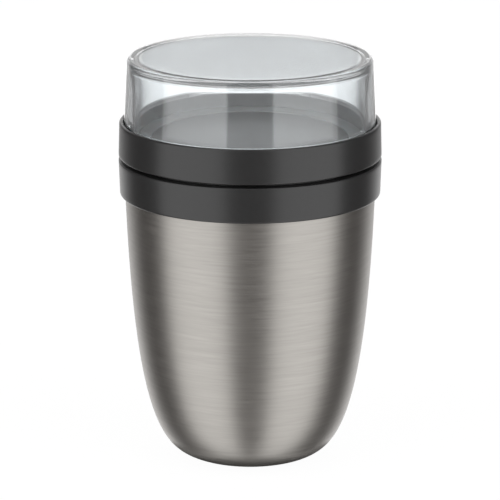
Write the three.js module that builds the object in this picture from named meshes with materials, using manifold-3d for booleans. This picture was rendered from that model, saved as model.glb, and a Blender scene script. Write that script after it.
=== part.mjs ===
// Insulated lunch pot: a double-walled steel pot with a plastic screw collar, a screw lid with an
// insulated plug, and a clear cup that screws upside down into the top of the lid.
// Millimetres, +Z up, origin at the middle of the ring that the pot stands on.

import * as THREE from "three";
import { mergeVertices } from "three/addons/utils/BufferGeometryUtils.js";
import Module from "manifold-3d";

// Facets of a full turn, steps along the bulged wall, and the radius that takes one step in a rounded edge
const FACETS = 40;
const BASE_FACETS = 24;
const SMALL_FACETS = 16;
const WALL_STEPS = 8;
const FILLET_STEP = 1;
const MOST_FILLET_STEPS = 4;

// Fits shared by all pieces
const CLEARANCE = 0.3; // between pieces that turn or slide past each other
const SEAT = 0.2; // between pieces that are welded, glued or pressed together
const THREAD_DEPTH = 1.3; // radial room for one thread ridge

// Two plastic bands and the heights that are stacked on the standing ring
const BAND_RADIUS = 53.65; // outside of the collar and of the lid, where they meet
const BAND_WALL = 2.45; // lid band, from its outside to the thread root
const BODY_HEIGHT = 111.4; // steel in view, up to the collar
const COLLAR_HEIGHT = 14.5;
const BAND_GAP = 1.4; // shadow gap between the two bands
const LID_HEIGHT = 14.1;
const FLOOR_DEPTH = 7.6; // lid floor below the lid's top edge
const CUP_HEIGHT = 26.5; // clear cup above the lid's top edge

// Rounded edges
const BAND_EDGE = 1; // outer edges of the two bands
const INNER_EDGE = 0.6; // edges that a hand or a seal passes
const FINE_EDGE = 0.3; // all other moulded edges

// Steel vessel
const SHEET = 0.5;
const BODY_STEP = 2.6; // bands stand out this far from the steel below them
const BODY_DRAFT = 1.94; // degrees, at the top of the bulged wall
const BODY_HANDLE = 114.5; // how long the wall keeps that draft
const STAND_RADIUS = 21.1;
const STAND_WIDTH = 1.8; // flat of the standing ring
const STAND_SLOPE = 20.6; // degrees, where the wall meets the standing ring
const STAND_HANDLE = 10.8;
const HEM_HEIGHT = 3; // upturned edge inside the standing ring
const SHOULDER_RISE = 2.4; // steel goes this far up behind the collar before it necks in
const SHOULDER_CONE = 3; // height of the necking
const SHOULDER_FILLET = 1.5;
const NECK_GAP = 1.8; // vacuum space in the neck
const VACUUM_GAP = 5; // vacuum space in the body
const BASE_GAP = 9; // underside of the food vessel above the table
const LINER_CORNER = 9; // fillet round the floor of the food vessel
const MOUTH_FILLET = 1.2;
const BEAD = 0.7; // rolled bead on the steel neck that holds the collar

// Vacuum base
const PORT_RADIUS = 1.2; // pump-out hole
const DIMPLE_RADIUS = 3.6;
const DIMPLE_RISE = 1.2;
const BASE_FLANGE = 1.8;
const BASE_INSET = 0.4; // flange above the table
const COVER_INSET = 0.9; // base cover above the table
const COVER_RING = 11.5; // radius of its pressed ring
const GETTER_RADIUS = 3.6;
const GETTER_HEIGHT = 1.6;
const GETTER_CUP_WALL = 0.4;

// Collar
const NECK_WALL = 1.6; // threaded neck, from its bore to the thread root
const COLLAR_DRAFT = 0.45; // band is this much smaller at its lower edge
const POCKET_WALL = 1.9;
const POCKET_ROOF = 3.4;
const POCKET_COUNT = 20;
const POCKET_RIB = 1.4;

// Lid
const LID_DRAFT = 0.4; // band is this much smaller at its upper edge
const FLOOR_WALL = 2; // lid floor over the foam
const FLOOR_EDGE = 3.2; // lid floor where the two seals are let in
const SEAL_DEPTH = 1.2;
const SEAL_PROUD = 0.5; // pot seal stands out of its groove towards the pot's rim
const SEAL_LAP = 0.9; // pot seal beyond the threaded neck's bore
const CUP_SEAL_PROUD = 0.2; // cup seal stands out of its groove above the lid floor
const CUP_SEAL_LAP = 6.4; // cup seal inside the cup's bore
const PLUG_CLEARANCE = 0.6; // plug in the steel mouth
const PLUG_DEPTH = 10;
const PLUG_WALL = 1.6;
const PLUG_UPSTAND = 3;
const SOCKET_WALL = 2.1; // lid band beside the cup
const SOCKET_DEPTH = 1.4;

// Clear cup
const CUP_TAPER = 1.5; // cup is this much smaller at its top
const CUP_WALL = 2.3; // threaded neck of the cup
const CUP_DRAFT = 0.3; // inside of the cup
const CUP_RIM = 1; // rounding of the rim
const CUP_TOP = 2.6;
const CUP_CORNER = 2.9;
const CUP_INNER_CORNER = 2.7;
const CUP_SHOULDER = 0.05; // shoulder of the cup above the lid's top edge
const CUP_SHOULDER_FILLET = 2;

// Heights
const collarTop = BODY_HEIGHT + COLLAR_HEIGHT;
const lidBottom = collarTop + BAND_GAP;
const lidTop = lidBottom + LID_HEIGHT;
const floorTop = lidTop - FLOOR_DEPTH;
const landing = floorTop - FLOOR_EDGE;
const potRim = landing - SEAL_PROUD;
const plugBottom = landing - PLUG_DEPTH;
const cupTop = lidTop + CUP_HEIGHT;

// Radii, from the bands inwards
const bodyRadius = BAND_RADIUS - BODY_STEP;
const threadRoot = BAND_RADIUS - BAND_WALL;
const neckRadius = threadRoot - CLEARANCE - THREAD_DEPTH;
const collarBore = neckRadius - NECK_WALL;
const steelNeck = collarBore - CLEARANCE;
const mouthRadius = steelNeck - NECK_GAP - 2 * SHEET;
const plugRadius = mouthRadius - PLUG_CLEARANCE;
const plugBore = plugRadius - PLUG_WALL;
const socketRadius = BAND_RADIUS - SOCKET_WALL;
const cupRadius = socketRadius - CLEARANCE;
const cupBore = neckRadius - CUP_WALL;
const wellRadius = STAND_RADIUS - STAND_WIDTH;
const cupSealInner = cupBore - CUP_SEAL_LAP;

const wasm = await Module();
wasm.setup();

// Profiles: a corner is [radius, height, fillet] in the half plane beside the axis.

function arcAt(before, corner, after, fillet) {
  const back = before.clone().sub(corner);
  const on = after.clone().sub(corner);
  const half = Math.acos(THREE.MathUtils.clamp(back.dot(on) / (back.length() * on.length()), -1, 1)) / 2;
  const reach = Math.min(fillet / Math.tan(half), 0.48 * Math.min(back.length(), on.length()));
  const radius = reach * Math.tan(half);
  back.normalize();
  on.normalize();
  const centre = back.clone().add(on).setLength(radius / Math.sin(half)).add(corner);
  const start = back.multiplyScalar(reach).add(corner).sub(centre).angle();
  const end = on.multiplyScalar(reach).add(corner).sub(centre).angle();
  const sweep = THREE.MathUtils.euclideanModulo(end - start + Math.PI, 2 * Math.PI) - Math.PI;
  const steps = Math.min(Math.ceil(fillet / FILLET_STEP), MOST_FILLET_STEPS);
  return Array.from({ length: steps + 1 }, (_, i) => {
    const angle = start + (sweep * i) / steps;
    return new THREE.Vector2(Math.cos(angle), Math.sin(angle)).multiplyScalar(radius).add(centre);
  });
}

// Corners as points, with an arc at each corner that has a fillet. A loop joins its last corner to its first.
function rounded(corners, loop = false) {
  const at = corners.map(([radius, height]) => new THREE.Vector2(radius, height));
  const count = at.length;
  return corners.flatMap(([, , fillet = 0], i) => {
    const inside = loop || (i > 0 && i < count - 1);
    if (!fillet || !inside) return [at[i]];
    return arcAt(at[(i + count - 1) % count], at[i], at[(i + 1) % count], fillet);
  });
}

// A path moved sideways by a distance, to its right as it runs, with mitred corners.
function beside(path, distance) {
  const normals = path.slice(1).map((point, i) => {
    const along = point.clone().sub(path[i]).normalize();
    return new THREE.Vector2(along.y, -along.x);
  });
  return path.map((point, i) => {
    const before = normals[Math.max(i - 1, 0)];
    const after = normals[Math.min(i, normals.length - 1)];
    const mitre = before.clone().add(after).divideScalar(1 + before.dot(after));
    return point.clone().addScaledVector(mitre, distance);
  });
}

// Sheet metal: a path on one face of the sheet, and the same path on the other face.
function sheetProfile(path, thickness) {
  return [...path, ...beside(path, thickness).reverse()];
}

// A closed outline turned round the Z axis, faces outwards.
function revolve(outline, facets = FACETS) {
  const turned = THREE.ShapeUtils.area(outline) > 0 ? outline : [...outline].reverse();
  const onAxis = turned.findIndex((point, i) => point.x === 0 && turned[(i + 1) % turned.length].x === 0);
  const loop =
    onAxis < 0
      ? [...turned, turned[0]]
      : [...turned.slice(onAxis + 1), ...turned.slice(0, onAxis + 1)];
  return new THREE.LatheGeometry(loop, facets).rotateX(Math.PI / 2);
}

// Booleans

function toSolid(geometry) {
  const bare = geometry.clone();
  bare.deleteAttribute("normal");
  bare.deleteAttribute("uv");
  const merged = mergeVertices(bare);
  return new wasm.Manifold(
    new wasm.Mesh({
      numProp: 3,
      vertProperties: merged.attributes.position.array,
      triVerts: new Uint32Array(merged.index.array),
    }),
  );
}

function toGeometry(solid) {
  const mesh = solid.getMesh();
  const geometry = new THREE.BufferGeometry();
  geometry.setAttribute("position", new THREE.BufferAttribute(mesh.vertProperties, 3));
  geometry.setIndex(new THREE.BufferAttribute(mesh.triVerts, 1));
  geometry.computeVertexNormals();
  return geometry;
}

// Materials

function finish(color, roughness, metalness, opacity = 1) {
  return new THREE.MeshStandardMaterial({
    color,
    roughness,
    metalness,
    opacity,
    transparent: opacity < 1,
  });
}

const brushedSteel = finish(0xa9a6a2, 0.35, 1);
const plainSteel = finish(0xb4b2ae, 0.3, 1);
const darkPlastic = finish(0x3d3d3e, 0.55, 0);
const clearPlastic = finish(0xe9eff2, 0.05, 0, 0.3);
const silicone = finish(0xd5d8d8, 0.6, 0, 0.8);
const foam = finish(0xf2f1ec, 0.95, 0);
const solder = finish(0x8f8d88, 0.4, 1);
const getterAlloy = finish(0x55534f, 0.8, 0.6);

// Steel vessel

// The bulged wall: straight with a little draft under the collar, then rounding in to the standing ring.
const bulge = (() => {
  const draft = THREE.MathUtils.degToRad(BODY_DRAFT);
  const slope = THREE.MathUtils.degToRad(STAND_SLOPE);
  const top = new THREE.Vector2(bodyRadius, BODY_HEIGHT);
  const foot = new THREE.Vector2(STAND_RADIUS, 0);
  return new THREE.CubicBezierCurve(
    top,
    new THREE.Vector2(-Math.sin(draft), -Math.cos(draft)).multiplyScalar(BODY_HANDLE).add(top),
    new THREE.Vector2(Math.cos(slope), Math.sin(slope)).multiplyScalar(STAND_HANDLE).add(foot),
    foot,
  );
})();

// A point of the bulged wall, moved into the pot by a depth.
function bulgeAt(t, depth) {
  const along = bulge.getTangent(t);
  return bulge.getPoint(t).addScaledVector(new THREE.Vector2(along.y, -along.x), depth);
}

// Where the wall, at that depth, comes down to a height.
function bulgeAtHeight(height, depth) {
  let low = 0;
  let high = 1;
  for (let i = 0; i < 40; i += 1) {
    const middle = (low + high) / 2;
    if (bulgeAt(middle, depth).y > height) low = middle;
    else high = middle;
  }
  return low;
}

const shoulderFoot = BODY_HEIGHT + SHOULDER_RISE;
const shoulderTop = shoulderFoot + SHOULDER_CONE;
const beadHeight = collarTop - POCKET_ROOF / 2;

// Drawn and brushed outer shell: neck with a rolled bead, shoulder, bulged wall, standing ring and hem.
function outerShell() {
  const neck = rounded([
    [steelNeck, potRim - SHEET - SEAT],
    [steelNeck, beadHeight + BEAD],
    [steelNeck + BEAD, beadHeight],
    [steelNeck, beadHeight - BEAD],
    [steelNeck, shoulderTop, SHOULDER_FILLET],
    [bodyRadius, shoulderFoot, SHOULDER_FILLET],
    [bodyRadius, BODY_HEIGHT],
  ]);
  const wall = bulge.getPoints(WALL_STEPS).slice(1);
  const hem = [new THREE.Vector2(wellRadius, 0), new THREE.Vector2(wellRadius, HEM_HEIGHT)];
  return revolve(sheetProfile([...neck, ...wall, ...hem], SHEET));
}

// Food vessel: a rim that lies on the shell's neck, a straight mouth and a wall that follows the shell.
function innerLiner() {
  const depth = VACUUM_GAP + 2 * SHEET;
  const end = bulgeAtHeight(BASE_GAP + SHEET, depth);
  const wall = Array.from({ length: WALL_STEPS }, (_, i) => bulgeAt((end * (i + 1)) / WALL_STEPS, depth));
  const corners = [
    [steelNeck, potRim],
    [mouthRadius, potRim, MOUTH_FILLET],
    [mouthRadius, BODY_HEIGHT],
    ...wall.slice(0, -1).map((point) => [point.x, point.y]),
    [wall.at(-1).x, BASE_GAP + SHEET, LINER_CORNER],
    [0, BASE_GAP + SHEET],
  ];
  return revolve(sheetProfile(rounded(corners), -SHEET));
}

// Disc that closes the shell's foot, with a downturned flange and a dimple round the pump-out hole.
const baseDisc = BASE_FLANGE + BASE_INSET;
const baseRadius = wellRadius - SEAT;

function vacuumBase() {
  return revolve(
    sheetProfile(
      rounded([
        [PORT_RADIUS, baseDisc + DIMPLE_RISE],
        [DIMPLE_RADIUS - DIMPLE_RISE / 2, baseDisc + DIMPLE_RISE],
        [DIMPLE_RADIUS, baseDisc],
        [baseRadius - SHEET, baseDisc, FINE_EDGE],
        [baseRadius - SHEET, baseDisc - BASE_FLANGE],
      ]),
      -SHEET,
    ),
    BASE_FACETS,
  );
}

// Metal that seals the pump-out hole from below once the air is out.
function sealingBead() {
  const dome = baseDisc + DIMPLE_RISE - SEAT;
  const stem = PORT_RADIUS - SEAT;
  const shoulder = DIMPLE_RADIUS - DIMPLE_RISE / 2 - SEAT;
  return revolve(
    rounded([
      [0, dome - DIMPLE_RISE / 2],
      [shoulder, dome - DIMPLE_RISE / 2, DIMPLE_RISE / 3],
      [shoulder, dome],
      [stem, dome],
      [stem, dome + 2 * SHEET],
      [0, dome + 2 * SHEET],
    ]),
    SMALL_FACETS,
  );
}

// Thin disc glued into the foot, with a pressed ring.
function baseCover() {
  const outside = baseRadius - SHEET - SEAT;
  return revolve(
    sheetProfile(
      rounded([
        [0, COVER_INSET + SHEET / 2],
        [COVER_RING, COVER_INSET + SHEET / 2],
        [COVER_RING + SHEET, COVER_INSET],
        [outside - SHEET, COVER_INSET, SHEET],
        [outside - SHEET, baseDisc - SEAT],
      ]),
      -SHEET,
    ),
    BASE_FACETS,
  );
}

const getterPlace = (DIMPLE_RADIUS + baseRadius - SHEET) / 2;
const getterFoot = baseDisc + SHEET + SEAT;

// Small pressed cup on the vacuum side of the base, which holds the getter.
function getterHolder() {
  const outside = GETTER_RADIUS + SEAT + GETTER_CUP_WALL;
  return revolve(
    sheetProfile(
      rounded([
        [0, getterFoot],
        [outside, getterFoot, INNER_EDGE],
        [outside, getterFoot + GETTER_CUP_WALL + SEAT + GETTER_HEIGHT],
      ]),
      -GETTER_CUP_WALL,
    ),
    SMALL_FACETS,
  );
}

function getterPellet() {
  const foot = getterFoot + GETTER_CUP_WALL + SEAT;
  return revolve(
    rounded([
      [0, foot],
      [GETTER_RADIUS, foot, FINE_EDGE],
      [GETTER_RADIUS, foot + GETTER_HEIGHT, FINE_EDGE],
      [0, foot + GETTER_HEIGHT],
    ]),
    SMALL_FACETS,
  );
}

// Plastic collar on the steel neck: band, threaded neck, groove for the steel bead, and pockets between ribs
// that open downwards over the steel shoulder.
function potCollar() {
  const lip = bodyRadius + CLEARANCE;
  const groove = collarBore + BEAD;
  const body = revolve(
    rounded(
      [
        [lip, BODY_HEIGHT],
        [BAND_RADIUS - COLLAR_DRAFT, BODY_HEIGHT, BAND_EDGE],
        [BAND_RADIUS, collarTop, INNER_EDGE],
        [neckRadius, collarTop, FINE_EDGE],
        [neckRadius, potRim - SHEET, INNER_EDGE],
        [collarBore, potRim - SHEET],
        [collarBore, beadHeight + BEAD],
        [groove, beadHeight],
        [collarBore, beadHeight - BEAD],
        [collarBore, shoulderTop + CLEARANCE],
        [lip, shoulderFoot + CLEARANCE],
      ],
      true,
    ),
  );
  const inside = collarBore + POCKET_WALL;
  const outside = BAND_RADIUS - COLLAR_DRAFT - POCKET_WALL;
  const rib = POCKET_RIB / inside;
  const step = (2 * Math.PI) / POCKET_COUNT;
  const section = new THREE.Shape();
  section.absarc(0, 0, outside, rib / 2, step - rib / 2, false);
  section.absarc(0, 0, inside, step - rib / 2, rib / 2, true);
  const pocket = new THREE.ExtrudeGeometry(section, {
    depth: COLLAR_HEIGHT - POCKET_ROOF,
    curveSegments: 2,
    bevelEnabled: false,
  }).translate(0, 0, BODY_HEIGHT);
  let collar = toSolid(body);
  for (let i = 0; i < POCKET_COUNT; i += 1) {
    collar = collar.subtract(toSolid(pocket.clone().rotateZ(i * step)));
  }
  return toGeometry(collar);
}

// Lid

const potSealOuter = collarBore + SEAL_LAP;
const potGrooveTop = landing + SEAL_DEPTH;
const cupGrooveFloor = floorTop - SEAL_DEPTH;
const cupSealTop = floorTop + CUP_SEAL_PROUD;
const capTop = plugBottom + PLUG_WALL;

// One moulding: the band, a floor that parts the two screw sockets, and the skirt of the plug.
function lidBody() {
  const leadIn = lidTop - SOCKET_DEPTH;
  return revolve(
    rounded([
      [0, floorTop],
      [cupSealInner - SEAT, floorTop, FINE_EDGE],
      [cupSealInner - SEAT, cupGrooveFloor],
      [threadRoot, cupGrooveFloor],
      [threadRoot, leadIn - (socketRadius - threadRoot)],
      [socketRadius, leadIn],
      [socketRadius, lidTop, INNER_EDGE],
      [BAND_RADIUS - LID_DRAFT, lidTop, BAND_EDGE],
      [BAND_RADIUS, lidBottom, INNER_EDGE],
      [threadRoot, lidBottom, INNER_EDGE],
      [threadRoot, landing, INNER_EDGE],
      [potSealOuter + SEAT, landing],
      [potSealOuter + SEAT, potGrooveTop],
      [plugRadius, potGrooveTop],
      [plugRadius, capTop + SEAT],
      [plugBore, capTop + SEAT],
      [plugBore, floorTop - FLOOR_WALL, INNER_EDGE],
      [0, floorTop - FLOOR_WALL],
    ]),
  );
}

// Cover of the plug, with an upstand that presses into the skirt.
function plugCap() {
  const upstand = plugBore - SEAT;
  const upstandTop = capTop + PLUG_UPSTAND;
  return revolve(
    rounded([
      [0, plugBottom],
      [plugRadius, plugBottom, BAND_EDGE],
      [plugRadius, capTop],
      [upstand, capTop],
      [upstand, upstandTop],
      [upstand - PLUG_WALL, upstandTop],
      [upstand - PLUG_WALL, capTop, INNER_EDGE],
      [0, capTop],
    ]),
  );
}

// Disc of insulating foam inside the plug.
function lidFoam() {
  const radius = plugBore - PLUG_WALL - 2 * SEAT;
  const foot = capTop + SEAT;
  const top = floorTop - FLOOR_WALL - SEAT;
  return revolve(
    rounded([
      [0, foot],
      [radius, foot, INNER_EDGE],
      [radius, top, INNER_EDGE],
      [0, top],
    ]),
  );
}

// Silicone rings. The pot seal stands round the root of the plug and meets the steel rim.
function sealRing(inner, outer, foot, top) {
  return revolve(
    rounded(
      [
        [inner, foot],
        [outer, foot],
        [outer, top],
        [inner, top],
      ],
      true,
    ),
  );
}

function potSeal() {
  return sealRing(plugRadius + SEAT, potSealOuter, potRim + SEAT, potGrooveTop - SEAT);
}

function cupSeal() {
  return sealRing(cupSealInner, threadRoot - CLEARANCE, cupGrooveFloor + SEAT, cupSealTop);
}

// Clear cup, mouth down: its flat bottom is the top of the whole pot.
function clearCup() {
  const rim = cupSealTop + SEAT;
  const shoulder = lidTop + CUP_SHOULDER;
  return revolve(
    rounded([
      [0, cupTop],
      [cupRadius - CUP_TAPER, cupTop, CUP_CORNER],
      [cupRadius, shoulder, CUP_SHOULDER_FILLET],
      [neckRadius, shoulder - (cupRadius - neckRadius), FINE_EDGE],
      [neckRadius, rim, CUP_RIM],
      [cupBore, rim, CUP_RIM],
      [cupBore - CUP_DRAFT, cupTop - CUP_TOP, CUP_INNER_CORNER],
      [0, cupTop - CUP_TOP],
    ]),
  );
}

// Assembly

const lunchPot = new THREE.Group();

function piece(group, name, geometry, material) {
  const mesh = new THREE.Mesh(geometry, material);
  mesh.name = name;
  group.add(mesh);
  return mesh;
}

const pot = new THREE.Group();
piece(pot, "outer_shell", outerShell(), brushedSteel);
piece(pot, "inner_liner", innerLiner(), plainSteel);
piece(pot, "vacuum_base", vacuumBase(), plainSteel);
piece(pot, "sealing_bead", sealingBead(), solder);
piece(pot, "base_cover", baseCover(), brushedSteel);
piece(pot, "pot_collar", potCollar(), darkPlastic);

const getter = new THREE.Group();
piece(getter, "getter_holder", getterHolder(), plainSteel);
piece(getter, "getter_pellet", getterPellet(), getterAlloy);
getter.position.x = getterPlace;
pot.add(getter);

const lid = new THREE.Group();
piece(lid, "lid_body", lidBody(), darkPlastic);
piece(lid, "lid_foam", lidFoam(), foam);
piece(lid, "plug_cap", plugCap(), darkPlastic);
piece(lid, "pot_seal", potSeal(), silicone);
piece(lid, "cup_seal", cupSeal(), silicone);

const cup = new THREE.Group();
piece(cup, "clear_cup", clearCup(), clearPlastic);

lunchPot.add(pot, lid, cup);

export default lunchPot;
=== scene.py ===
import math

import bmesh
import bpy
import numpy as np
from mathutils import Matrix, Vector


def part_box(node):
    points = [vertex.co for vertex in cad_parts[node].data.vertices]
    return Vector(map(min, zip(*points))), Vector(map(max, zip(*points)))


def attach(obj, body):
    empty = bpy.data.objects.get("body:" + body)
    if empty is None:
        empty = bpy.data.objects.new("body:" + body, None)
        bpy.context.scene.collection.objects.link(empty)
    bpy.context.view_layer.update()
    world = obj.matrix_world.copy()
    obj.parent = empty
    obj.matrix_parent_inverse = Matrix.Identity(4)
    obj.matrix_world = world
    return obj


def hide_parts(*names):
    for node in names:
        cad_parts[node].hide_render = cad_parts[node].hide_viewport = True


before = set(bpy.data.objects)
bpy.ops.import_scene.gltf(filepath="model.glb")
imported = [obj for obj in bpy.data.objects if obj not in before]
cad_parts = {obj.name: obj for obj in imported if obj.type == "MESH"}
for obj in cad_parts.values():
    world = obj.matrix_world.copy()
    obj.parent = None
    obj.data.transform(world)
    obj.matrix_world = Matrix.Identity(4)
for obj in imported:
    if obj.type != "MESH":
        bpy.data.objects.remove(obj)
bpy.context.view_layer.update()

# Outer shell
# Stainless sheet, deep drawn and spun to a bulged wall, then brushed round its axis. Its neck
# carries a rolled bead that the collar snaps over, and its foot is folded in to the ring that
# the pot stands on.

MM = 0.001
TURN = 2 * math.pi
FACETS = 240

# Lengths are in millimetres until revolve turns a profile into a mesh.
body_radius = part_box("outer_shell")[1].x / MM
body_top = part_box("pot_collar")[0].z / MM
steel_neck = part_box("inner_liner")[1].x / MM
neck_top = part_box("outer_shell")[1].z / MM
sheet = 0.5
stand_radius = 21.1
stand_width = 1.8
well_radius = stand_radius - stand_width
hem_height = 3.0
collar_top = body_top + 14.5
shoulder_foot = body_top + 2.4
shoulder_top = shoulder_foot + 3.0
bead_height = collar_top - 1.7
bead = 0.7


def filled(path, step):
    """The same path with points at most one step apart: each straight run is cut into equal
    parts."""
    run = np.diff(path, axis=0)
    parts = np.maximum(1, np.ceil(np.hypot(run[:, 0], run[:, 1]) / step)).astype(int)
    index = np.repeat(np.arange(len(run)), parts)
    within = np.arange(len(index)) - np.repeat(np.cumsum(parts) - parts, parts)
    return np.vstack([path[index] + run[index] * (within / parts[index])[:, None], path[-1:]])


def corner_arc(before, corner, after, fillet, count):
    """The arc that touches both runs at a corner. Its ends lie fillet / tan(half the corner's
    angle) from the corner, or nearly half way along the shorter run, and its centre lies on the
    line that halves the angle."""
    nearly_half = 0.48
    back, on = before - corner, after - corner
    short = min(np.linalg.norm(back), np.linalg.norm(on))
    back, on = back / np.linalg.norm(back), on / np.linalg.norm(on)
    half = math.acos(np.clip(back @ on, -1, 1)) / 2
    reach = min(fillet / math.tan(half), nearly_half * short)
    radius = reach * math.tan(half)
    middle = (back + on) / np.linalg.norm(back + on)
    centre = corner + middle * radius / math.sin(half)
    start, end = corner + back * reach - centre, corner + on * reach - centre
    first = math.atan2(start[1], start[0])
    sweep = (math.atan2(end[1], end[0]) - first + math.pi) % TURN - math.pi
    angle = first + sweep * np.linspace(0, 1, count)
    return centre + radius * np.stack([np.cos(angle), np.sin(angle)], axis=1)


def rounded(corners, closed=False, step=1.2, arc=9):
    """A profile from its corners (radius, height, fillet): straight runs, with an arc in place of
    each corner that has a fillet. A closed profile ends where it starts."""
    place = np.array([corner[:2] for corner in corners], float)
    last = len(corners) - 1
    parts = []
    for i, corner in enumerate(corners):
        fillet = corner[2] if len(corner) > 2 else 0
        if fillet and (closed or 0 < i < last):
            after = place[(i + 1) % (last + 1)]
            parts.append(corner_arc(place[i - 1], place[i], after, fillet, arc))
        else:
            parts.append(place[i : i + 1])
    path = np.concatenate(parts)
    return filled(np.vstack([path, path[:1]]) if closed else path, step)


def beside(path, distance):
    """The path moved to its right as it runs: each point goes along the normal of the path's
    direction there."""
    along = np.gradient(path, axis=0)
    along /= np.linalg.norm(along, axis=1, keepdims=True)
    return path + distance * np.stack([along[:, 1], -along[:, 0]], axis=1)


def sheet_profile(path, thickness):
    """A closed profile of sheet metal: the path on one face, back along the other face, with both
    ends shut."""
    return np.vstack([path, beside(path, thickness)[::-1], path[:1]])


def revolve(name, profile, relief=None, facets=FACETS, offset=0.0):
    """A profile turned round the Z axis: the point (r, z) at angle a is (r cos a, r sin a, z), and
    relief(a, r, z) is added to r. The UV map holds the share of the turn and the metres along the
    profile."""
    angle = np.linspace(0, TURN, facets, endpoint=False)[None, :]
    radius, height = profile[:, :1], profile[:, 1:]
    lifted = radius + (relief(angle, radius, height) if relief else 0 * angle)
    points = np.stack(
        [lifted * np.cos(angle) + offset, lifted * np.sin(angle), height + 0 * angle], axis=2
    )
    row, column = np.meshgrid(np.arange(len(profile) - 1), np.arange(facets), indexing="ij")
    beyond = (column + 1) % facets
    quads = np.stack(
        [
            row * facets + column,
            row * facets + beyond,
            (row + 1) * facets + beyond,
            (row + 1) * facets + column,
        ],
        axis=2,
    ).reshape(-1, 4)
    step = np.diff(profile, axis=0)
    length = np.concatenate([[0], np.cumsum(np.hypot(step[:, 0], step[:, 1]))]) * MM
    across = np.stack([column, column + 1, column + 1, column], axis=2) / facets
    along = np.stack([length[row], length[row], length[row + 1], length[row + 1]], axis=2)
    mesh = bpy.data.meshes.new(name)
    mesh.from_pydata((points.reshape(-1, 3) * MM).tolist(), [], quads.tolist())
    layer = mesh.uv_layers.new(name="turn_and_length")
    layer.data.foreach_set("uv", np.stack([across, along], axis=3).astype(np.float32).ravel())
    merge_distance = 0.0005 * MM
    shape = bmesh.new()
    shape.from_mesh(mesh)
    bmesh.ops.remove_doubles(shape, verts=shape.verts, dist=merge_distance)
    bmesh.ops.recalc_face_normals(shape, faces=shape.faces)
    shape.to_mesh(mesh)
    shape.free()
    mesh.shade_smooth()
    piece = bpy.data.objects.new(name, mesh)
    bpy.context.scene.collection.objects.link(piece)
    return piece


def fit(piece, material, body, part):
    """Gives a piece its material, and puts it in place of its CAD node on the body that carries
    it."""
    piece.data.materials.append(material)
    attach(piece, body)
    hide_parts(part)


def new_finish(name, **constants):
    """A material with one Principled shader and those constant sockets, underscores standing for
    spaces."""
    material = bpy.data.materials.new(name)
    material.use_nodes = True
    shader = material.node_tree.nodes["Principled BSDF"]
    for socket, value in constants.items():
        shader.inputs[socket.replace("_", " ")].default_value = value
    return material, shader


def node(material, kind, inputs, **settings):
    """A shader node with its settings, and with its inputs set to constants or linked to other
    nodes' outputs."""
    made = material.node_tree.nodes.new("ShaderNode" + kind)
    for setting, value in settings.items():
        setattr(made, setting, value)
    for socket, value in inputs.items():
        if isinstance(value, bpy.types.NodeSocket):
            material.node_tree.links.new(value, made.inputs[socket])
        else:
            made.inputs[socket].default_value = value
    return made


def link(material, output, shader, socket):
    """Joins an output to a socket of the shader."""
    material.node_tree.links.new(output, shader.inputs[socket])


def times(material, first, second):
    """The product of two values."""
    return node(material, "Math", {0: first, 1: second}, operation="MULTIPLY").outputs[0]


noise_low, noise_high = 0.3, 0.7  # noise mostly keeps between these values


def ranged(material, value, low, high, start=noise_low, end=noise_high):
    """A value that runs straight from low to high while another goes from start to end."""
    return node(
        material,
        "MapRange",
        {"Value": value, "From Min": start, "From Max": end, "To Min": low, "To Max": high},
    ).outputs[0]


def graded(material, value, stops):
    """A colour that goes straight from stop to stop, each stop being a place and its colour."""
    ramp = node(material, "ValToRGB", {"Fac": value})
    for place, _ in stops[1:-1]:
        ramp.color_ramp.elements.new(place)
    for element, (place, colour) in zip(ramp.color_ramp.elements, stops):
        element.position, element.color = place, (*colour, 1)
    return ramp.outputs["Color"]


def tinted(material, noise, dark, light):
    """A colour that runs from dark to light with a noise."""
    return graded(material, noise, [(noise_low, dark), (noise_high, light)])


def grain_along_turn(material, across, along):
    """Noise drawn out round the axis: it reads x and y at one scale, and the length along the
    profile at a much finer one, both in cells per metre."""
    place = node(material, "SeparateXYZ", {0: node(material, "TexCoord", {}).outputs["Object"]})
    turned = node(material, "UVMap", {}, uv_map="turn_and_length").outputs[0]
    length = node(material, "SeparateXYZ", {0: turned})
    space = node(
        material,
        "CombineXYZ",
        {0: place.outputs["X"], 1: place.outputs["Y"], 2: length.outputs["Y"]},
    )
    drawn = node(
        material,
        "VectorMath",
        {0: space.outputs[0], 1: (across, across, along)},
        operation="MULTIPLY",
    )
    return node(
        material,
        "TexNoise",
        {"Vector": drawn.outputs[0], "Scale": 1.0, "Detail": 2.0, "Roughness": 0.6},
    ).outputs["Fac"]


def brushed_steel(name, dark, light, roughness):
    """Steel with fine scratches round the axis: they vary the tint, the roughness and the relief,
    and spread the reflections up and down the wall."""
    material, shader = new_finish(name, Metallic=1.0, Anisotropic=0.3, Anisotropic_Rotation=0.25)
    scratches = grain_along_turn(material, across=85, along=1900)
    strokes = grain_along_turn(material, across=38, along=900)
    both = node(material, "Math", {0: scratches, 1: strokes}, operation="ADD").outputs[0]
    mean = times(material, both, 0.5)
    link(material, tinted(material, mean, dark, light), shader, "Base Color")
    spread = 0.03
    gloss = ranged(material, scratches, roughness - spread, roughness + spread)
    link(material, gloss, shader, "Roughness")
    relief = node(material, "Bump", {"Height": scratches, "Strength": 0.12, "Distance": 0.02 * MM})
    link(material, relief.outputs[0], shader, "Normal")
    round_axis = node(material, "Tangent", {}, direction_type="RADIAL", axis="Z")
    link(material, round_axis.outputs[0], shader, "Tangent")
    return material


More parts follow.
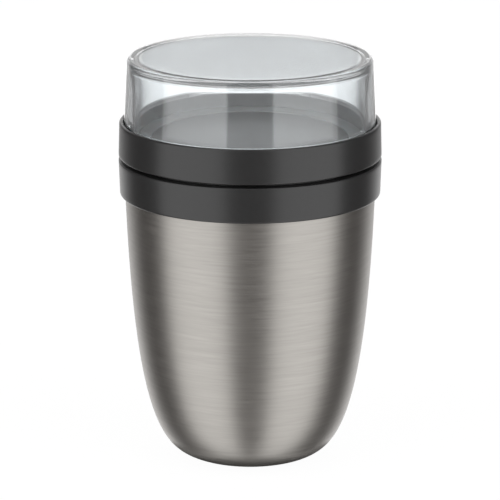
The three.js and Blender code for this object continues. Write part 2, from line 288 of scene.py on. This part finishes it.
def bulge(count):
    """The wall in view: the cubic curve that leaves the collar with a little draft and reaches the
    standing ring at a low slope, as the sum of its four points weighted by s^3, 3 s^2 t, 3 s t^2
    and t^3, where t goes from 0 to 1 and s is 1 - t."""
    draft, slope = math.radians(1.94), math.radians(20.6)
    upper_pull, lower_pull = 114.5, 10.8
    top, foot = np.array([body_radius, body_top]), np.array([stand_radius, 0.0])
    under_top = top - upper_pull * np.array([math.sin(draft), math.cos(draft)])
    over_foot = foot + lower_pull * np.array([math.cos(slope), math.sin(slope)])
    t = np.linspace(0, 1, count)[:, None]
    s = 1 - t
    return s**3 * top + 3 * s**2 * t * under_top + 3 * s * t**2 * over_foot + t**3 * foot


shell_wall = bulge(90)
shell_neck = rounded(
    [
        (steel_neck, neck_top),
        (steel_neck, bead_height + bead, 0.3),
        (steel_neck + bead, bead_height, 0.4),
        (steel_neck, bead_height - bead, 0.3),
        (steel_neck, shoulder_top, 1.5),
        (body_radius, shoulder_foot, 1.5),
        (body_radius, body_top),
    ]
)
shell_foot = rounded(
    [
        tuple(shell_wall[-2]),
        (stand_radius, 0.0, 2.0),
        (well_radius, 0.0, 0.8),
        (well_radius, hem_height),
    ]
)
shell_path = np.vstack([shell_neck, shell_wall[1:-2], shell_foot])
outer_shell = revolve("outer_shell_brushed", sheet_profile(shell_path, sheet))
shell_steel = brushed_steel(
    "brushed_shell", dark=(0.334, 0.32, 0.3), light=(0.404, 0.386, 0.363), roughness=0.375
)
fit(outer_shell, shell_steel, "pot", "outer_shell")

# Food vessel
# A second drawn steel cup inside the shell, welded to it at the rim. Its wall keeps an even vacuum
# space to the shell, and its inside is finely turned so that food wipes off.

pot_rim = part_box("inner_liner")[1].z / MM
floor_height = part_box("inner_liner")[0].z / MM + sheet
rim_ledge = 1.8
mouth_radius = steel_neck - rim_ledge - 2 * sheet
vacuum_gap = 5.0
bulge_end = body_top - 12

liner_wall = beside(bulge(120), vacuum_gap + 2 * sheet)
liner_wall = liner_wall[(liner_wall[:, 1] > floor_height) & (liner_wall[:, 1] < bulge_end)]
liner_path = rounded(
    [
        (steel_neck, pot_rim),
        (mouth_radius, pot_rim, 1.2),
        (mouth_radius, body_top, 20.0),
        *map(tuple, liner_wall[:-1]),
        (*liner_wall[-1], 9.0),
        (0.0, floor_height),
    ]
)
inner_liner = revolve("inner_liner_turned", sheet_profile(liner_path, -sheet))
liner_steel = brushed_steel(
    "turned_liner", dark=(0.44, 0.425, 0.405), light=(0.5, 0.485, 0.46), roughness=0.32
)
fit(inner_liner, liner_steel, "pot", "inner_liner")

# Vacuum base
# A pressed steel disc, welded into the foot of the shell to close the vacuum space. A dimple in
# its middle has the hole through which the air is pumped out.

flange = 1.8
disc_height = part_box("vacuum_base")[0].z / MM + flange
disc_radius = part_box("vacuum_base")[1].x / MM
dimple_radius, dimple_rise, port_radius = 3.6, 1.2, 1.2
base_path = rounded(
    [
        (port_radius, disc_height + dimple_rise),
        (dimple_radius - dimple_rise / 2, disc_height + dimple_rise, 0.3),
        (dimple_radius, disc_height, 0.3),
        (disc_radius - sheet, disc_height, 0.4),
        (disc_radius - sheet, disc_height - flange),
    ]
)
vacuum_base = revolve("vacuum_base_pressed", sheet_profile(base_path, -sheet), facets=96)
fit(vacuum_base, liner_steel, "pot", "vacuum_base")

# Sealing bead
# Solder that is melted into the dimple from below once the air is out. It wets the hole, closes it
# and sets with a dull skin.

seat = 0.2  # gap between pieces that are fixed together


def fine_grain(material, scale, detail):
    """Noise over the space that a piece takes up, in cells per metre."""
    place = node(material, "TexCoord", {}).outputs["Object"]
    noise = node(material, "TexNoise", {"Vector": place, "Scale": scale, "Detail": detail})
    return noise.outputs["Fac"]


def grained_finish(name, dark, light, roughness, scale, depth, **constants):
    """A finish with one noise, in cells per metre, that varies the tint, the roughness and the
    relief."""
    material, shader = new_finish(name, **constants)
    grain = fine_grain(material, scale, detail=4.0)
    link(material, tinted(material, grain, dark, light), shader, "Base Color")
    spread = 0.05
    gloss = ranged(material, grain, roughness - spread, roughness + spread)
    link(material, gloss, shader, "Roughness")
    relief = node(material, "Bump", {"Height": grain, "Strength": 0.5, "Distance": depth * MM})
    link(material, relief.outputs[0], shader, "Normal")
    return material


solder_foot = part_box("sealing_bead")[0].z / MM
solder_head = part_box("sealing_bead")[1].z / MM
solder_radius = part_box("sealing_bead")[1].x / MM
solder_step = disc_height + dimple_rise - seat
solder_profile = rounded(
    [
        (0.0, solder_foot),
        (solder_radius, solder_foot, 0.5),
        (solder_radius, solder_step, 0.1),
        (port_radius - seat, solder_step, 0.1),
        (port_radius - seat, solder_head, 0.4),
        (0.0, solder_head),
    ],
    step=0.3,
)
solder = grained_finish(
    "dull_solder",
    dark=(0.3, 0.29, 0.28),
    light=(0.42, 0.41, 0.39),
    roughness=0.42,
    scale=1500.0,
    depth=0.05,
    Metallic=1.0,
)
sealing_bead = revolve("sealing_bead_set", solder_profile, facets=64)
fit(sealing_bead, solder, "pot", "sealing_bead")

# Getter holder
# A small cup, pressed from thin steel sheet. It is spot welded on the vacuum side of the base,
# beside the dimple.

getter_low, getter_high = (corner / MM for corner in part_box("getter_holder"))
getter_place = (getter_low.x + getter_high.x) / 2
getter_radius = (getter_high.x - getter_low.x) / 2
thin_sheet = 0.4
holder_path = rounded(
    [
        (0.0, getter_low.z),
        (getter_radius, getter_low.z, 0.6),
        (getter_radius, getter_high.z),
    ],
    step=0.4,
)
holder_profile = sheet_profile(holder_path, -thin_sheet)
getter_holder = revolve("getter_holder_pressed", holder_profile, facets=64, offset=getter_place)
fit(getter_holder, liner_steel, "pot", "getter_holder")

# Getter
# A pressed pellet of metal powder that binds the last gas and so keeps the vacuum. It lies in its
# holder.

pellet_low, pellet_high = (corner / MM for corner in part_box("getter_pellet"))
pellet_radius = (pellet_high.x - pellet_low.x) / 2
pellet_profile = rounded(
    [
        (0.0, pellet_low.z),
        (pellet_radius, pellet_low.z, 0.3),
        (pellet_radius, pellet_high.z, 0.3),
        (0.0, pellet_high.z),
    ],
    step=0.4,
)
powder = grained_finish(
    "pressed_powder",
    dark=(0.06, 0.058, 0.055),
    light=(0.13, 0.125, 0.12),
    roughness=0.75,
    scale=4000.0,
    depth=0.1,
    Metallic=0.6,
)
getter_pellet = revolve("getter_pellet_pressed", pellet_profile, facets=64, offset=getter_place)
fit(getter_pellet, powder, "pot", "getter_pellet")

# Base cover
# A thin brushed steel disc with its edge turned up, glued into the foot over the vacuum base. A
# pressed step stiffens it.

cover_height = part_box("base_cover")[0].z / MM
cover_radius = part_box("base_cover")[1].x / MM - sheet
cover_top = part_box("base_cover")[1].z / MM
step_radius = 11.5
step_rise = sheet / 2
cover_path = rounded(
    [
        (0.0, cover_height + step_rise),
        (step_radius, cover_height + step_rise, 0.6),
        (step_radius + sheet, cover_height, 0.6),
        (cover_radius, cover_height, 0.5),
        (cover_radius, cover_top),
    ]
)
base_cover = revolve("base_cover_pressed", sheet_profile(cover_path, -sheet), facets=160)
fit(base_cover, shell_steel, "pot", "base_cover")

# Collar
# The lower band: a dark moulding that is snapped over the bead on the steel neck. Its outside is
# drafted in towards the steel, and its neck has the thread for the lid.

band_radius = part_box("lid_body")[1].x / MM
thread_root = band_radius - 2.45
neck_radius = thread_root - 1.6
thread_lead = 12.0


def thread(angle, height, starts, line, first, last):
    """Share of a thread ridge's full height at an angle and a height. The middle of each ridge
    climbs by the lead in a turn and passes the height called line at angle 0, where ridges of other
    starts lie whole pitches away. Across a ridge the share falls from 1 to 0 on two flanks, and it
    fades out towards the first and last height."""
    crest, base, fade = 0.3, 0.7, 0.36
    pitch = thread_lead / starts
    off = (height - line - thread_lead * angle / TURN + pitch / 2) % pitch - pitch / 2
    flank = np.clip((base - np.abs(off)) / (base - crest), 0, 1)
    middle = height - off
    ends = np.clip(np.minimum(middle - first, last - middle) / fade, 0, 1)
    return flank * flank * (3 - 2 * flank) * ends


def wall(radius, start, end, step=0.15):
    """Corners up or down a straight wall, close enough together to carry a thread."""
    count = int(abs(end - start) / step) + 2
    return [(radius, height) for height in np.linspace(start, end, count)]


def moulded_plastic(name, dark, light, roughness):
    """Dark moulding with a fine eroded texture, which varies its tint and its gloss a little."""
    material, shader = new_finish(name, IOR=1.52)
    grain = fine_grain(material, scale=500.0, detail=2.0)
    link(material, tinted(material, grain, dark, light), shader, "Base Color")
    spread = 0.008
    gloss = ranged(material, grain, roughness - spread, roughness + spread)
    link(material, gloss, shader, "Roughness")
    return material


room_to_steel = 0.3  # gap that lets the collar snap on
collar_bore = steel_neck + room_to_steel
lip_radius = body_radius + room_to_steel
collar_neck_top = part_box("pot_collar")[1].z / MM
collar_draft = 0.45
collar_profile = rounded(
    [
        (lip_radius, body_top, 0.2),
        (band_radius - collar_draft, body_top, 1.0),
        (band_radius, collar_top, 0.6),
        (neck_radius, collar_top, 0.3),
        *wall(neck_radius, collar_top + 0.4, collar_neck_top - 0.7),
        (neck_radius, collar_neck_top, 0.6),
        (collar_bore, collar_neck_top, 0.2),
        (collar_bore, bead_height + bead, 0.3),
        (collar_bore + bead, bead_height, 0.4),
        (collar_bore, bead_height - bead, 0.3),
        (collar_bore, shoulder_top + room_to_steel, 1.2),
        (lip_radius, shoulder_foot + room_to_steel, 1.5),
    ],
    closed=True,
)
pot_starts = 4
pot_line = collar_top + 1.9
pot_ridge = 1.0


def collar_relief(angle, radius, height):
    """The lid's thread on the outside of the neck, and nothing elsewhere."""
    on_neck = np.isclose(radius, neck_radius) & (height > collar_top + 0.35)
    first, last = collar_top + 1.0, collar_neck_top - 0.9
    return on_neck * pot_ridge * thread(angle, height, pot_starts, pot_line, first, last)


dark_plastic = moulded_plastic(
    "dark_moulding", dark=(0.0222, 0.0222, 0.0224), light=(0.0238, 0.0238, 0.024), roughness=0.29
)
pot_collar = revolve("pot_collar_moulded", collar_profile, collar_relief)
fit(pot_collar, dark_plastic, "pot", "pot_collar")

# Lid
# One dark moulding: the upper band, a floor that parts the socket for the pot from the socket for
# the cup, and the skirt of the plug that reaches into the steel mouth.

lid_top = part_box("lid_body")[1].z / MM
lid_bottom = collar_top + 1.4
lid_floor = pot_rim + 3.7
lid_ceiling = lid_floor - 2.0
lid_draft = 0.4
landing = lid_floor - 3.2
seal_depth = 1.2
socket_radius = band_radius - 2.1
lead_in = lid_top - 1.4
plug_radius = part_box("plug_cap")[1].x / MM
plug_bore = plug_radius - 1.6
plug_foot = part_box("lid_body")[0].z / MM
pot_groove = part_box("pot_seal")[1].x / MM + seat
cup_bore = neck_radius - 2.3
cup_seal_inner = cup_bore - 6.4
lid_profile = rounded(
    [
        (0.0, lid_floor),
        (cup_seal_inner - seat, lid_floor, 0.3),
        (cup_seal_inner - seat, lid_floor - seal_depth, 0.2),
        (thread_root, lid_floor - seal_depth, 0.2),
        *wall(thread_root, lid_floor - seal_depth + 0.3, lead_in - 0.7),
        (thread_root, lead_in - 0.35, 0.3),
        (socket_radius, lead_in, 0.3),
        (socket_radius, lid_top, 0.6),
        (band_radius - lid_draft, lid_top, 1.0),
        (band_radius, lid_bottom, 0.6),
        (thread_root, lid_bottom, 0.6),
        *wall(thread_root, lid_bottom + 0.7, landing - 0.7),
        (thread_root, landing, 0.6),
        (pot_groove, landing, 0.2),
        (pot_groove, landing + seal_depth, 0.2),
        (plug_radius, landing + seal_depth, 0.2),
        (plug_radius, plug_foot, 0.3),
        (plug_bore, plug_foot, 0.3),
        (plug_bore, lid_ceiling, 0.6),
        (0.0, lid_ceiling),
    ]
)
cup_starts = 2
cup_line = lid_floor + 2.6
short_ridge = 0.6
lid_ridge = 0.9


def lid_relief(angle, radius, height):
    """Inward ridges on both threaded walls, each clear of the ridges that it meets, and nothing
    elsewhere: half a pitch below them for the pot, and a ridge's width above them for the cup."""
    under = pot_line - thread_lead / pot_starts / 2
    over = cup_line + 1.6
    on_wall = np.isclose(radius, thread_root)
    pot_side = thread(angle, height, pot_starts, under, lid_bottom + 1.2, landing - 1.0)
    cup_side = thread(angle, height, cup_starts, over, over - short_ridge, over + short_ridge)
    return -lid_ridge * on_wall * np.where(height > landing, cup_side, pot_side)


lid_body = revolve("lid_body_moulded", lid_profile, lid_relief)
fit(lid_body, dark_plastic, "lid", "lid_body")

# Foam
# A disc cut from stiff off-white foam, which fills the plug and keeps the heat in. It lies loose
# between lid and cap.

foam_low, foam_high = (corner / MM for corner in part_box("lid_foam"))
foam_profile = rounded(
    [
        (0.0, foam_low.z),
        (foam_high.x, foam_low.z, 0.6),
        (foam_high.x, foam_high.z, 0.6),
        (0.0, foam_high.z),
    ]
)
foam_cells = grained_finish(
    "foam_cells",
    dark=(0.74, 0.73, 0.69),
    light=(0.87, 0.86, 0.82),
    roughness=0.9,
    scale=1600.0,
    depth=0.3,
)
lid_foam = revolve("lid_foam_cut", foam_profile, facets=160)
fit(lid_foam, foam_cells, "lid", "lid_foam")

# Plug cap
# A dark moulded disc that closes the plug from below. Its upstand is pressed into the skirt and
# welded there.

cap_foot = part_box("plug_cap")[0].z / MM
cap_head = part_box("plug_cap")[1].z / MM
cap_seat = plug_foot - seat
upstand = plug_bore - seat
upstand_bore = upstand - 1.6
cap_profile = rounded(
    [
        (0.0, cap_foot),
        (plug_radius, cap_foot, 1.0),
        (plug_radius, cap_seat, 0.2),
        (upstand, cap_seat, 0.1),
        (upstand, cap_head, 0.3),
        (upstand_bore, cap_head, 0.3),
        (upstand_bore, cap_seat, 0.6),
        (0.0, cap_seat),
    ]
)
plug_cap = revolve("plug_cap_moulded", cap_profile)
fit(plug_cap, dark_plastic, "lid", "plug_cap")

# Pot seal
# A milky silicone ring, stretched round the root of the plug. It is pressed on the steel rim when
# the lid is shut.

seal_edge = 0.3


def ring_profile(part, inner):
    """A ring's section from its node's box and its inner radius, with rounded edges."""
    low, high = (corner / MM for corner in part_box(part))
    return rounded(
        [
            (inner, low.z, seal_edge),
            (high.x, low.z, seal_edge),
            (high.x, high.z, seal_edge),
            (inner, high.z, seal_edge),
        ],
        closed=True,
    )


silicone = grained_finish(
    "milky_silicone",
    dark=(0.28, 0.29, 0.29),
    light=(0.33, 0.34, 0.34),
    roughness=0.45,
    scale=900.0,
    depth=0.02,
    Subsurface_Weight=0.25,
    Subsurface_Scale=0.6 * MM,
)
pot_seal = revolve("pot_seal_moulded", ring_profile("pot_seal", plug_radius + seat))
fit(pot_seal, silicone, "lid_ring", "pot_seal")

# Cup seal
# A second ring of the same silicone, moulded wide and flat. It lies in the groove of the lid
# floor, under the cup's rim.

cup_seal = revolve("cup_seal_moulded", ring_profile("cup_seal", cup_seal_inner))
fit(cup_seal, silicone, "cup_ring", "cup_seal")

# Clear cup
# A clear moulded cup, screwed mouth down into the lid by a short ridge at each side. Its thick
# flat bottom is the top of the pot, and a slight crown leads to the rounded edge.

cup_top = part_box("clear_cup")[1].z / MM
cup_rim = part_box("clear_cup")[0].z / MM
cup_radius = socket_radius - 0.3
cup_shoulder = lid_top + 0.05
cup_ridge = 0.9
shoulder_drop = cup_radius - neck_radius
wall_draft, bore_draft = 1.3, 0.3
cup_ceiling = cup_top - 2.6
flat_radius, crown_end, crown_curve = 38.5, 46.0, 950
edge_drop = 0.06
crown = [
    (radius, cup_top - (radius - flat_radius) ** 2 / (2 * crown_curve))
    for radius in np.linspace(flat_radius, crown_end, 8)
]
cup_profile = rounded(
    [
        (0.0, cup_top),
        *crown,
        (cup_radius - wall_draft, cup_top - edge_drop, 2.0),
        (cup_radius, cup_shoulder, 0.4),
        (neck_radius, cup_shoulder - shoulder_drop, 0.3),
        *wall(neck_radius, cup_shoulder - 2.4, cup_rim + 1.1),
        (neck_radius, cup_rim, 1.0),
        (cup_bore, cup_rim, 1.0),
        (cup_bore - bore_draft, cup_ceiling, 2.4),
        (0.0, cup_ceiling),
    ],
    arc=25,
)


def cup_relief(angle, radius, height):
    """A short ridge at each side of the cup's neck, and nothing elsewhere."""
    on_neck = np.isclose(radius, neck_radius)
    first, last = cup_line - short_ridge, cup_line + short_ridge
    return on_neck * cup_ridge * thread(angle, height, cup_starts, cup_line, first, last)


def clear_plastic(name, tint):
    """Clear moulding: it bends light, scatters a little of it, and has faint flow lines in its
    gloss."""
    material, shader = new_finish(
        name,
        Base_Color=(*tint, 1),
        Transmission_Weight=0.91,
        IOR=1.57,
        Coat_Weight=0.35,
        Coat_Roughness=0.0,
    )
    flow = fine_grain(material, scale=60.0, detail=2.0)
    link(material, ranged(material, flow, 0.0, 0.02), shader, "Roughness")
    return material


clear_cup = revolve("clear_cup_moulded", cup_profile, cup_relief, facets=320)
clear = clear_plastic("clear_moulding", (0.955, 0.985, 1.0))
fit(clear_cup, clear, "cup", "clear_cup")

# Stage
# A pale table in a studio with two tall soft boxes beside the camera, dark walls beside the pot
# and white paper behind it. A disc that only mirrored rays meet stands for the shaded table under
# the foot: its colour is painted shade, darkest near the axis and pale at its rim.


def staged(name, outline, material, unseen):
    """A flat face of the stage from its outline, left out of the kinds of rays called unseen."""
    mesh = bpy.data.meshes.new(name)
    mesh.from_pydata(outline, [], [tuple(range(len(outline)))])
    mesh.materials.append(material)
    face = bpy.data.objects.new(name, mesh)
    for rays in unseen:
        setattr(face, "visible_" + rays, False)
    bpy.context.scene.collection.objects.link(face)


# The table glows nearly white, and the rest of it is lit, so that it keeps a faint shadow.
pale = bpy.data.materials.new("pale_table")
pale.use_nodes = True
pale.node_tree.nodes.clear()
matt = node(pale, "BsdfDiffuse", {"Color": (0.7, 0.7, 0.7, 1)})
glow = node(pale, "Emission", {"Color": (1, 1, 1, 1), "Strength": 1.05})
mixed = node(pale, "MixShader", {0: 0.92, 1: matt.outputs[0], 2: glow.outputs[0]})
node(pale, "OutputMaterial", {"Surface": mixed.outputs[0]})
far = 3.0
table = [(-far, -far, 0), (far, -far, 0), (far, far, 0), (-far, far, 0)]
staged("table", table, pale, ("diffuse", "glossy", "transmission", "shadow"))

shade_radius, pad_radius, pad_lift = 29 * MM, 36.5 * MM, 0.02 * MM
shaded, shaded_shader = new_finish("painted_shade_disc", Roughness=1.0)
place = node(shaded, "TexCoord", {}).outputs["Object"]
off_axis = node(shaded, "VectorMath", {0: place}, operation="LENGTH").outputs["Value"]
# Painted shade: the disc's colour runs from dark near the axis to pale at its rim, for the pot's
# shadow.
painted_shade = ranged(shaded, off_axis, 0.08, 0.8, shade_radius, pad_radius)
link(shaded, painted_shade, shaded_shader, "Base Color")
turn = np.linspace(0, TURN, 64, endpoint=False)
pad = np.stack([pad_radius * np.cos(turn), pad_radius * np.sin(turn), 0 * turn + pad_lift], axis=1)
staged("pad", pad.tolist(), shaded, ("camera", "diffuse", "transmission", "shadow"))

room = bpy.data.worlds.new("studio")
room.use_nodes = True
room.node_tree.nodes.clear()


def larger(material, first, second):
    """The larger of two values."""
    return node(material, "Math", {0: first, 1: second}, operation="MAXIMUM").outputs[0]


def levels(material, value, stops):
    """A level that goes straight from stop to stop, each stop being a place and its level."""
    return graded(material, value, [(place, (level, level, level)) for place, level in stops])


def share(azimuth):
    """How far round the room a direction lies, from 0 at the camera to 1 behind the pot:
    (1 - cos azimuth) / 2."""
    return (1 - math.cos(math.radians(azimuth))) / 2


# Where a ray goes: behind is -1 towards the camera and 1 away from it, aside is the distance from
# the middle, and rise is negative below the horizon.
toward = node(room, "TexCoord", {}).outputs["Generated"]
level_part = node(room, "VectorMath", {0: toward, 1: (1, 1, 0)}, operation="MULTIPLY").outputs[0]
heading = node(room, "VectorMath", {0: level_part}, operation="NORMALIZE").outputs[0]
behind = node(room, "SeparateXYZ", {0: heading}).outputs["Y"]
way = node(room, "SeparateXYZ", {0: toward}).outputs
aside = node(room, "Math", {0: way["X"]}, operation="ABSOLUTE").outputs[0]
rise = way["Z"]
upward = ranged(room, rise, 0, 1, 0, 1)
ray = node(room, "LightPath", {}).outputs

# The soft boxes, between a grey wall at the camera and darker walls at the sides. They are weaker
# straight below the pot.
white = (1.0, 1.0, 1.0)
front_wall = (0.101, 0.095, 0.093)
side_wall = (0.044, 0.04, 0.039)
boxes = graded(
    room,
    ranged(room, behind, 0, 1, -1, 1),
    [
        (0.0, front_wall),
        (share(20.3), front_wall),
        (share(22.0), white),
        (share(84.9), white),
        (share(87.9), side_wall),
        (1.0, side_wall),
    ],
)
box_level = 1.5
box_strength = ranged(room, rise, 0.55 * box_level, box_level, -1, -0.92)
box_light = node(room, "Background", {"Color": boxes, "Strength": box_strength})

# The paper falls off to the sides. In mirrors it is wider, along the table and more faintly above
# it, and past its upper edge there is a dark strip in the middle.
paper = levels(
    room,
    aside,
    [
        (0.13, 1.46),
        (0.17, 1.34),
        (0.195, 1.24),
        (0.23, 0.82),
        (0.262, 0.47),
        (0.31, 0.26),
        (0.35, 0.14),
        (0.4, 0.04),
        (1.0, 0.04),
    ],
)
on_table = ranged(room, rise, 1, 0, -0.245, -0.212)
on_table = times(room, ranged(room, behind, 0, 1.2, 0.58, 0.9), on_table)
over_table = ranged(room, rise, 0, 1, -0.212, -0.2)
over_table = times(room, ranged(room, aside, 0.6, 0.05, 0.42, 0.62), over_table)
wide = larger(room, paper, larger(room, on_table, over_table))
edge = levels(
    room, upward, [(0.184, 1), (0.193, 0.1), (0.2, 0.12), (0.212, 0.165), (0.245, 0.07), (1, 0.1)]
)
edge = larger(room, edge, ranged(room, aside, 0, 0.45, 0.0354, 0.0374))
edge = larger(room, edge, ranged(room, aside, 0, 0.8, 0.06, 0.09))
mirrored = times(room, wide, edge)

# Through the clear cup the paper shows as it is, with the table below it, a softer upper edge and
# a pale ceiling.
table_below = ranged(room, rise, 0.52, 0, -0.2845, -0.282)
table_below = times(room, table_below, ranged(room, aside, 1, 0.1, 0.485, 0.525))
soft_edge = levels(
    room,
    upward,
    [
        (0.175, 1.0),
        (0.19, 0.45),
        (0.222, 0.45),
        (0.235, 0.65),
        (0.28, 0.66),
        (0.34, 0.26),
        (1.0, 0.1),
    ],
)
through = times(room, larger(room, paper, table_below), soft_edge)
ceiling = levels(room, upward, [(0.24, 0), (0.42, 0.5), (0.6, 0.5), (0.72, 0.16), (1, 0.1)])
ceiling = times(room, ceiling, ranged(room, aside, 1, 0.2, 0.3, 0.55))

# Each kind of ray meets its own paper, which ends beside the pot and well below it. The ceiling
# shows only through the clear cup, and the camera sees plain white.
via_clear = ray["Is Transmission Ray"]
via_mirror = node(room, "Math", {0: 1.0, 1: via_clear}, operation="SUBTRACT").outputs[0]
through, mirrored = times(room, through, via_clear), times(room, mirrored, via_mirror)
backdrop = node(room, "Math", {0: through, 1: mirrored}, operation="ADD").outputs[0]
backdrop = times(room, backdrop, ranged(room, behind, 0, 1, 0.4, 0.6))
backdrop = times(room, backdrop, ranged(room, rise, 0, 1, -0.85, -0.55))
backdrop = larger(room, backdrop, times(room, ceiling, via_clear))
backdrop = larger(room, backdrop, ray["Is Camera Ray"])
paper_light = node(room, "Background", {"Color": (*white, 1), "Strength": backdrop})
sky = node(room, "AddShader", {0: box_light.outputs[0], 1: paper_light.outputs[0]})
node(room, "OutputWorld", {"Surface": sky.outputs[0]})
bpy.context.scene.world = room

# Camera
# A long lens, a little above the pot, looking along +Y. Its height and its framing are those of
# the photograph.

aim = Vector((-0.000065, 0, 0.0866))
elevation = math.radians(15.15)
distance = 1.3
camera_data = bpy.data.cameras.new("camera")
camera_data.sensor_width = 36.0
camera_data.lens = 227.6
camera = bpy.data.objects.new("camera", camera_data)
back = Vector((0, -math.cos(elevation), math.sin(elevation)))
camera.location = aim + distance * back
camera.rotation_mode = "QUATERNION"
camera.rotation_quaternion = (-back).to_track_quat("-Z", "Y")
bpy.context.scene.collection.objects.link(camera)
bpy.context.scene.camera = camera
bpy.context.scene.view_settings.view_transform = "Standard"
